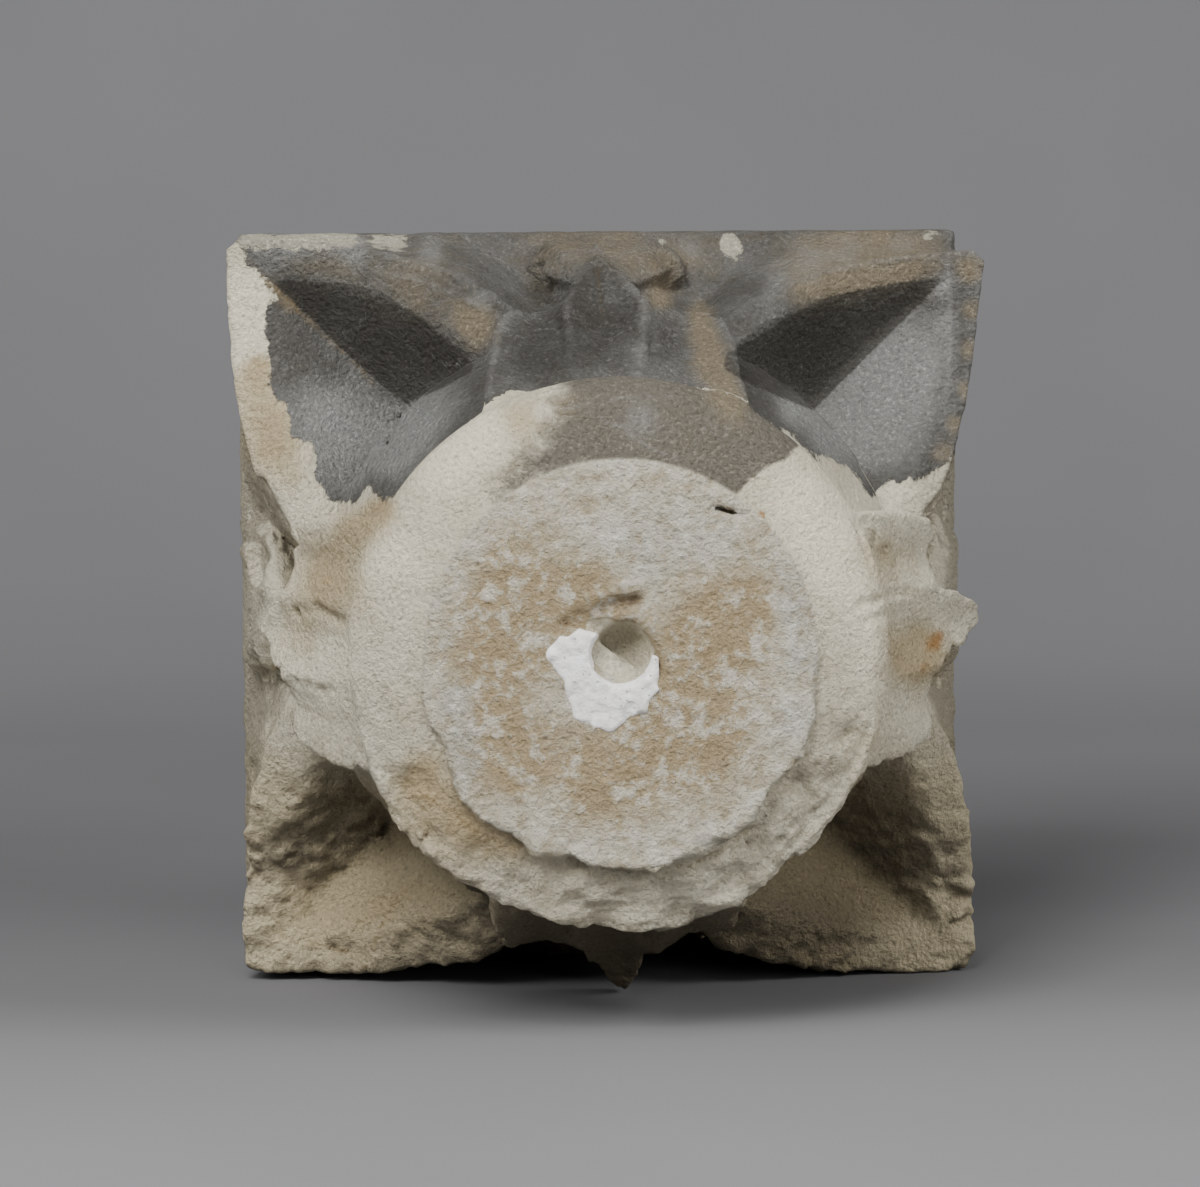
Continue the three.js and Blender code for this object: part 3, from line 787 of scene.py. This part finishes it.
def paint(piece, hollow):
    """Write what the material needs to know about each place of the stone."""
    mesh = piece.data
    x, at, z = coordinates(mesh)
    radius = np.hypot(x, z)
    u, v = photo_place(x, at, z)
    normals = vertex_normals(mesh)
    front = smoothstep(0.25, -0.1, normals[:, 1])
    down = broken_share(z, radius)
    on_ring = (at < RING_END_MM) & (radius < RING_RADIUS_MM + 2 + 9 * down)
    # Painted shade: the walls of the top corner leaves that face away from the light are painted black, and
    # the middle lobe a little darker; the walls also carry black crust
    wall_crust_and_shade = np.maximum(outline_distance(u, v, LEFT_SHADED_WALL), outline_distance(u, v, RIGHT_SHADED_WALL))
    wall_crust_and_shade = np.maximum(wall_crust_and_shade, np.minimum(outline_distance(u, v, MIDDLE_LOBE), 0.3))
    # The crust follows the photograph in front, and ends in a wavy line on the other sides
    crust = np.maximum(outline_distance(u, v, LEFT_CRUST), outline_distance(u, v, RIGHT_CRUST))
    crust = np.where(on_ring, -40, crust)
    wave = 14 * np.sin(x / 31 + 0.8) + 8 * np.sin(x / 13 + 2) + 9 * np.sin(at / 23)
    crust = crust * front + (z - 45 + wave) * 2.4 * (1 - front)
    # The film on the ring fades out to the left and ends sharply to the right
    film = outline_distance(u, v, RING_FILM) / (3 + 20 * smoothstep(640, 540, u))
    # Shade under the lower leaves and in their depths
    under_leaf = smoothstep(*UNDER_LEAF_ROWS, v) * smoothstep(*UNDER_LEAF_HALF, np.abs(u - UNDER_LEAF_MIDDLE))
    shade_beneath = smoothstep(0.0, -0.6, normals[:, 2]) * smoothstep(-60, -100, z) * (radius > 108)
    deep_tone_and_shade = np.clip(patches(u, v, DEEP_SHADE_PATCHES), 0, 1) * smoothstep(-30, -60, z)
    shade_beneath = np.maximum(shade_beneath, np.maximum(under_leaf, deep_tone_and_shade) * (radius > 112))
    sideways = smoothstep(0.5, 0.8, np.abs(normals[:, 0])) * smoothstep(150, 190, at)
    bed_edge = BED_RADIUS_MM + BED_COLOUR_PAST_MM + BROKEN_PAST_MM * down
    values = {
        "crust": crust,
        "wall_crust_and_shade": np.clip(wall_crust_and_shade, -6, 6) * front - 6 * (1 - front),
        "film": np.where(on_ring, np.clip(film, -2, 2), -2),
        "ring": on_ring * 1.0,
        "shade_beneath": shade_beneath,
        "pale_highlight_line": lines(u, v, PALE_LINES_AND_HIGHLIGHTS) * front,
        "rusty_line": lines(u, v, RUSTY_LINES) * front,
        "bed": np.minimum(bed_edge - radius, (3.2 - at) * 2),
        "hollow": np.clip(hollow, -3, 3),
        "lower": smoothstep(-30, -95, z) * smoothstep(34, 60, at),
        "sides": np.maximum(sideways, 1 - front),
    }
    for name, places in PATCHES.items():
        values[name] = patches(u, v, places) * front
    values["tan"] += TAN_BAND_WEIGHT * smoothstep(*TAN_BAND_ROWS, v) * front
    for name, value in values.items():
        attribute = mesh.attributes.new(name, "FLOAT", "POINT")
        attribute.data.foreach_set("value", np.asarray(value, np.float32))


class Nodes:
    """Short names for building a procedural material."""

    def __init__(self, name):
        self.material = bpy.data.materials.new(name)
        self.material.use_nodes = True
        self.tree = self.material.node_tree
        self.shader = self.tree.nodes["Principled BSDF"]
        self.place = self.tree.nodes.new("ShaderNodeTexCoord").outputs["Object"]

    def link(self, value, socket):
        if isinstance(value, bpy.types.NodeSocket):
            self.tree.links.new(value, socket)
        elif isinstance(value, tuple):
            socket.default_value = (*value, 1)
        else:
            socket.default_value = value

    def noise(self, size_mm, detail=3, roughness=0.55):
        node = self.tree.nodes.new("ShaderNodeTexNoise")
        self.tree.links.new(self.place, node.inputs["Vector"])
        node.inputs["Scale"].default_value = 1000 / size_mm
        node.inputs["Detail"].default_value = detail
        node.inputs["Roughness"].default_value = roughness
        return node.outputs["Fac"]

    def cells(self, size_mm):
        node = self.tree.nodes.new("ShaderNodeTexVoronoi")
        self.tree.links.new(self.place, node.inputs["Vector"])
        node.inputs["Scale"].default_value = 1000 / size_mm
        return node.outputs["Distance"]

    def cracks(self, size_mm):
        """Distance from the borders of cells that a noise bends."""
        node = self.tree.nodes.new("ShaderNodeTexVoronoi")
        node.feature = "DISTANCE_TO_EDGE"
        bend = self.tree.nodes.new("ShaderNodeTexNoise")
        bend.inputs["Scale"].default_value = 1000 / (size_mm * 0.5)
        bend.inputs["Detail"].default_value = 3
        self.tree.links.new(self.place, bend.inputs["Vector"])
        shift = self.tree.nodes.new("ShaderNodeVectorMath")
        shift.operation = "MULTIPLY_ADD"
        self.tree.links.new(bend.outputs["Color"], shift.inputs[0])
        shift.inputs[1].default_value = (size_mm * MM,) * 3
        self.tree.links.new(self.place, shift.inputs[2])
        self.tree.links.new(shift.outputs[0], node.inputs["Vector"])
        node.inputs["Scale"].default_value = 1000 / size_mm
        return node.outputs["Distance"]

    def scaled(self, colour, factor):
        node = self.tree.nodes.new("ShaderNodeVectorMath")
        node.operation = "SCALE"
        self.link(colour, node.inputs[0])
        node.inputs["Scale"].default_value = factor
        return node.outputs[0]

    def attribute(self, name):
        node = self.tree.nodes.new("ShaderNodeAttribute")
        node.attribute_name = name
        return node.outputs["Fac"]

    def math(self, operation, a, b):
        node = self.tree.nodes.new("ShaderNodeMath")
        node.operation = operation
        self.link(a, node.inputs[0])
        self.link(b, node.inputs[1])
        return node.outputs[0]

    def times(self, a, b):
        return self.math("MULTIPLY", a, b)

    def sum(self, *terms):
        """The sum of some values, each alone or with its weight."""
        values = [self.times(*term) if isinstance(term, tuple) else term for term in terms]
        total = values[0]
        for value in values[1:]:
            total = self.math("ADD", total, value)
        return total

    def along(self, axis):
        """The object coordinate along one axis."""
        node = self.tree.nodes.new("ShaderNodeSeparateXYZ")
        self.tree.links.new(self.place, node.inputs[0])
        return node.outputs[axis]

    def grey(self, value):
        node = self.tree.nodes.new("ShaderNodeCombineColor")
        for channel in ("Red", "Green", "Blue"):
            self.link(value, node.inputs[channel])
        return node.outputs[0]

    def step(self, value, low, high, low_out=0.0, high_out=1.0, smooth=True):
        node = self.tree.nodes.new("ShaderNodeMapRange")
        node.interpolation_type = "SMOOTHSTEP" if smooth else "LINEAR"
        self.link(value, node.inputs["Value"])
        node.inputs["From Min"].default_value = low
        node.inputs["From Max"].default_value = high
        node.inputs["To Min"].default_value = low_out
        node.inputs["To Max"].default_value = high_out
        return node.outputs["Result"]

    def mix(self, share, a, b, blend="MIX"):
        node = self.tree.nodes.new("ShaderNodeMix")
        node.data_type = "RGBA"
        node.blend_type = blend
        self.link(share, node.inputs["Factor"])
        self.link(a, node.inputs["A"])
        self.link(b, node.inputs["B"])
        return node.outputs["Result"]

    def tint(self, colour, share, most, towards):
        """A colour that turns into another where share is 1, up to a part of the way."""
        return self.mix(self.times(share, most), colour, towards)

    def bump(self, height, depth_mm, strength=1.0):
        node = self.tree.nodes.new("ShaderNodeBump")
        node.inputs["Strength"].default_value = strength
        node.inputs["Distance"].default_value = depth_mm * MM
        self.link(height, node.inputs["Height"])
        return node.outputs["Normal"]


class StoneNodes(Nodes):
    """The sandstone, with the values that its parts share."""

    def __init__(self):
        super().__init__("sandstone")
        self.wide = self.noise(70, 3)
        self.patch = self.noise(22, 4, 0.6)
        self.blotch = self.noise(9, 5, 0.62)
        self.small = self.noise(3.2, 5, 0.68)
        self.tiny = self.noise(1.6, 4, 0.75)
        self.hollow = self.attribute("hollow")
        self.ring = self.attribute("ring")
        self.rusty_line = self.times(self.attribute("rusty_line"), self.step(self.small, 0.35, 0.6))
        # Painted shade and light: the lower leaves darken, except where the lit patches paint them light
        deep_tone_and_shade = self.sum(self.attribute("lower"), (self.patch, 0.4), (self.attribute("lit"), -0.8))
        self.lower = self.step(deep_tone_and_shade, 0.4, 1.3)


def fresh_stone(n):
    """Cream to beige, and olive brown on the lower leaves and the sides, with painted light on the middle
    leaves and the lit lower leaves, and painted shade under the lower leaves and in their depths.
    """
    colour = n.mix(n.step(n.wide, 0.35, 0.65), BEIGE, PALE_BEIGE)
    colour = n.tint(colour, n.step(n.blotch, 0.4, 0.72), 0.5, DULL_BEIGE)
    cream_and_light = n.step(n.sum(n.attribute("cream_and_light"), (n.patch, 0.3)), 0.2, 0.9)
    # Cream stone, and painted light on the middle leaves at the sides
    colour = n.mix(cream_and_light, colour, CREAM_AND_LIGHT)
    ochre = n.step(n.sum((n.attribute("ochre"), 0.5), (n.patch, 0.5), (n.small, 0.25)), 0.42, 0.95)
    colour = n.tint(colour, ochre, 0.75, OCHRE)
    rust = n.step(n.sum((n.attribute("rust"), 0.6), (n.small, 0.5)), 0.5, 0.95)
    colour = n.tint(colour, rust, 0.8, RUST)
    olive = n.step(n.sum(n.attribute("lower"), (n.patch, 0.4)), 0.25, 0.9)
    colour = n.tint(colour, olive, 0.7, OLIVE)
    # Deep olive stone, and painted shade on the lower leaves away from the lit patches
    colour = n.tint(colour, n.lower, 0.8, DEEP_OLIVE_AND_SHADE)
    # Painted shade under the lower leaves and in their depths
    colour = n.tint(colour, n.attribute("shade_beneath"), 0.7, UNDERSIDE_SHADE)
    colour = n.tint(colour, n.rusty_line, 0.55, RUSTY_STONE)
    sides = n.step(n.sum(n.attribute("sides"), (n.patch, 0.4)), 0.35, 1.0)
    return n.tint(colour, sides, 0.6, SIDE_STONE)


def bed_stone(n):
    """Mottled brown and white, with grey places near the edge."""
    brown = n.step(n.sum((n.attribute("brown"), 0.4), (n.blotch, 0.6), (n.patch, 0.9)), 0.8, 1.2)
    colour = n.tint(BED_STONE, brown, 0.95, BED_TAN)
    ash = n.step(n.sum(n.attribute("grey"), (n.blotch, 0.6)), 0.55, 1.2)
    colour = n.tint(colour, ash, 0.7, BED_ASH)
    clumps = n.sum((n.small, 0.5), (n.noise(9, 5, 0.7), 0.9))
    colour = n.tint(colour, n.step(clumps, 0.68, 0.84), 0.75, BED_WHITE)
    colour = n.tint(colour, n.step(clumps, 0.70, 0.54), 0.6, BED_GRIME)
    dirt = n.step(n.sum((n.hollow, -1.0), (n.tiny, 0.4)), 0.3, 0.9)
    return n.tint(colour, dirt, 0.6, BED_DIRT)


def crust_share(n, not_bed):
    """Where the crust lies: sharp and ragged on the leaves, soft at the left of the ring."""
    ragged = n.sum((n.blotch, 22.0), (n.small, 12.0), -17.0)
    on_leaves = n.step(n.sum(n.attribute("crust"), ragged), -1.2, 1.4)
    film = n.sum(n.attribute("film"), (n.blotch, 2.0), (n.small, 1.0), -1.5)
    return n.times(n.math("MAXIMUM", on_leaves, n.step(film, -0.8, 0.8)), not_bed)


def crust_stone(n):
    """Dark grey to black, with tan and pale places, bare chips, lines and veins; the pale places and lines
    are partly painted light, and the black places and walls partly painted shade.
    """
    colour = n.mix(n.step(n.patch, 0.35, 0.65), CRUST_DARK, CRUST_LIGHT)
    colour = n.tint(colour, n.step(n.blotch, 0.5, 0.8), 0.5, CRUST_BLOTCH)
    colour = n.tint(colour, n.ring, 0.75, FILM_GREY)
    tan = n.step(n.sum((n.attribute("tan"), 0.55), (n.blotch, 0.5), (n.small, 0.3)), 0.5, 1.05)
    colour = n.tint(colour, tan, 0.75, CRUST_TAN)
    # Pale crust, and painted light on the lit walls of the top leaves
    pale_crust_and_light = n.step(n.sum((n.attribute("pale_crust_and_light"), 0.6), (n.small, 0.35), (n.patch, 0.3)), 0.4, 1.0)
    colour = n.tint(colour, pale_crust_and_light, 0.8, CRUST_PALE_AND_LIGHT)
    bare = n.step(n.sum(n.attribute("bare"), (n.small, 2.0), -0.6), 0.9, 1.05)
    colour = n.mix(bare, colour, BARE_STONE)
    # Pale worn arrises, with a painted highlight along them
    pale_highlight_line = n.times(n.attribute("pale_highlight_line"), n.step(n.small, 0.38, 0.56))
    colour = n.tint(colour, pale_highlight_line, 0.45, LINE_GREY_HIGHLIGHT)
    colour = n.tint(colour, n.rusty_line, 0.6, RUSTY_CRUST)
    # Black crust, and painted shade where the leaves face away from the light
    dark_crust_and_shade = n.step(n.sum((n.attribute("dark_crust_and_shade"), 0.6), (n.blotch, 0.4)), 0.35, 0.95)
    colour = n.tint(colour, dark_crust_and_shade, 0.75, CRUST_BLACK_AND_SHADE)
    # Painted shade on the walls that face away from the light, over their black crust
    wall_crust_and_shade = n.step(n.sum(n.attribute("wall_crust_and_shade"), (n.small, 4.0), -2.0), -1.2, 1.6)
    colour = n.tint(colour, wall_crust_and_shade, 0.75, WALL_CRUST_AND_SHADE)
    worn_edge = n.step(n.sum((n.hollow, 1.2), (n.small, 0.5)), 0.5, 1.1)
    colour = n.tint(colour, worn_edge, 0.25, EDGE_GREY)
    veins = n.times(n.step(n.cracks(13), 0.045, 0.0), n.step(n.noise(17, 3), 0.52, 0.64))
    colour = n.tint(colour, veins, 0.3, VEIN_GREY)
    return n.tint(colour, n.step(n.tiny, 0.48, 0.3), 0.5, n.scaled(colour, 2.0))


def grained(n, colour, not_bed):
    """Dirt in pits, and grains both dark and light."""
    pits = n.step(n.sum((n.hollow, -1.0), (n.tiny, 0.5)), 0.5, 1.5)
    pits = n.times(n.times(pits, not_bed), n.sum(0.4, (n.ring, -0.2)))
    colour = n.mix(pits, colour, PIT_BROWN)
    colour = n.tint(colour, n.step(n.tiny, 0.53, 0.68), 0.65, n.scaled(colour, 0.45))
    return n.tint(colour, n.step(n.tiny, 0.48, 0.32), 0.6, n.scaled(colour, 1.4))


def sandstone():
    n = StoneNodes()
    bed_share = n.step(n.attribute("bed"), -0.8, 0.8)
    not_bed = n.math("SUBTRACT", 1.0, bed_share)
    crusted = crust_share(n, not_bed)
    colour = n.mix(bed_share, fresh_stone(n), bed_stone(n))
    colour = n.mix(crusted, colour, crust_stone(n))
    n.link(grained(n, colour, not_bed), n.shader.inputs["Base Color"])
    n.link(0.93, n.shader.inputs["Roughness"])
    n.link(0.25, n.shader.inputs["Specular IOR Level"])
    worn = n.math("SUBTRACT", 1.0, n.times(n.ring, 0.4))
    rough = n.sum(0.45, (n.lower, 0.5), (bed_share, 0.3), (crusted, 0.35), (worn, 0.45))
    chisel = n.step(n.cells(3.4), 0.1, 0.6)
    height = n.sum((n.small, 1.3), (n.tiny, 1.1), (chisel, 0.35), (n.blotch, 0.6))
    n.link(n.bump(n.times(height, rough), 3.0), n.shader.inputs["Normal"])
    return n.material


def plaster_material():
    n = Nodes("plaster")
    blotch = n.noise(6, 4, 0.6)
    grain = n.noise(1.2, 3, 0.7)
    colour = n.mix(n.step(blotch, 0.4, 0.7), PLASTER_WHITE, PLASTER_GREY)
    pits = n.step(n.sum(n.cells(2.6), (grain, 0.3)), 0.30, 0.18)
    n.link(n.tint(colour, pits, 0.5, PLASTER_PIT), n.shader.inputs["Base Color"])
    n.link(0.9, n.shader.inputs["Roughness"])
    height = n.sum((blotch, 1.0), (grain, 0.5), (pits, -0.8))
    n.link(n.bump(height, 1.0), n.shader.inputs["Normal"])
    return n.material


def backdrop_material():
    """Grey paper, with painted shade where the floor runs out behind the capital."""
    n = Nodes("backdrop_grey")
    ramp = n.tree.nodes.new("ShaderNodeValToRGB")
    # Painted shade: the greys darken behind the capital, where its shadow and the end of the floor are
    n.link(n.step(n.along("Y"), SHADES_START, SHADES_END, smooth=False), ramp.inputs["Fac"])
    stops = ramp.color_ramp.elements
    for k, (y, grey) in enumerate(BACKDROP_GREYS_AND_SHADE):
        stop = stops[k] if k < len(stops) else stops.new(1)
        stop.position = (y - SHADES_START) / (SHADES_END - SHADES_START)
        stop.color = (grey, grey, grey * 1.03, 1)
    soft = n.step(n.noise(300, 2), 0.3, 0.7, 0.97, 1.03)
    n.link(n.mix(1.0, ramp.outputs["Color"], n.grey(soft), "MULTIPLY"), n.shader.inputs["Base Color"])
    n.link(0.85, n.shader.inputs["Roughness"])
    n.link(n.bump(n.noise(2, 2), 0.1, 0.3), n.shader.inputs["Normal"])
    return n.material


def set_camera():
    data = bpy.data.cameras.new("view")
    data.sensor_fit = "HORIZONTAL"
    data.sensor_width = SENSOR_WIDTH
    data.lens = LENS
    data.clip_end = 30
    camera = bpy.data.objects.new("view", data)
    bpy.context.scene.collection.objects.link(camera)
    right, up, forward = camera_axes()
    turn = Matrix((right, up, -forward)).transposed().to_4x4()
    turn.translation = CAMERA_PLACE
    camera.matrix_world = turn
    bpy.context.scene.camera = camera


def area_light(name, place, watts):
    data = bpy.data.lights.new(name, "AREA")
    data.shape = "SQUARE"
    data.size = LIGHT_SIZE
    data.energy = watts
    light = bpy.data.objects.new(name, data)
    bpy.context.scene.collection.objects.link(light)
    light.location = place
    light.rotation_euler = (LIGHT_AIM - Vector(place)).to_track_quat("-Z", "Y").to_euler()


def set_lights():
    for name, place, watts in LIGHTS:
        area_light(name, place, watts)
    world = bpy.data.worlds.new("world")
    world.use_nodes = True
    background = world.node_tree.nodes["Background"]
    background.inputs["Color"].default_value = (1, 1, 1, 1)
    background.inputs["Strength"].default_value = WORLD_STRENGTH
    bpy.context.scene.world = world


def set_stage():
    """A floor that bends up into a wall behind the capital."""
    profile = [(FLOOR_START, 0.0), (FLOOR_END, 0.0)]
    for step in range(1, BEND_STEPS + 1):
        angle = math.radians(90 * step / BEND_STEPS)
        rise = BACKDROP_BEND * (1 - math.cos(angle))
        profile.append((FLOOR_END + BACKDROP_BEND * math.sin(angle), rise))
    profile.append((FLOOR_END + BACKDROP_BEND, BACKDROP_HEIGHT))
    points = []
    faces = []
    for k, (y, z) in enumerate(profile):
        points += [(-BACKDROP_HALF_WIDTH, y, z), (BACKDROP_HALF_WIDTH, y, z)]
        if k:
            faces.append((2 * k - 2, 2 * k - 1, 2 * k + 1, 2 * k))
    mesh = bpy.data.meshes.new("backdrop")
    mesh.from_pydata(points, [], faces)
    mesh.shade_smooth()
    mesh.materials.append(backdrop_material())
    link("backdrop", mesh)


def place(piece, node, slot, material):
    piece.data.materials.clear()
    piece.data.materials.append(material)
    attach(piece, "root")
    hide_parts(node)


set_camera()
set_lights()
set_stage()
stone, hollow = weathered_stone()
paint(stone, hollow)
place(stone, "capital", "sandstone", sandstone())
place(plaster_skin(), "dowel_plaster", "plaster", plaster_material())
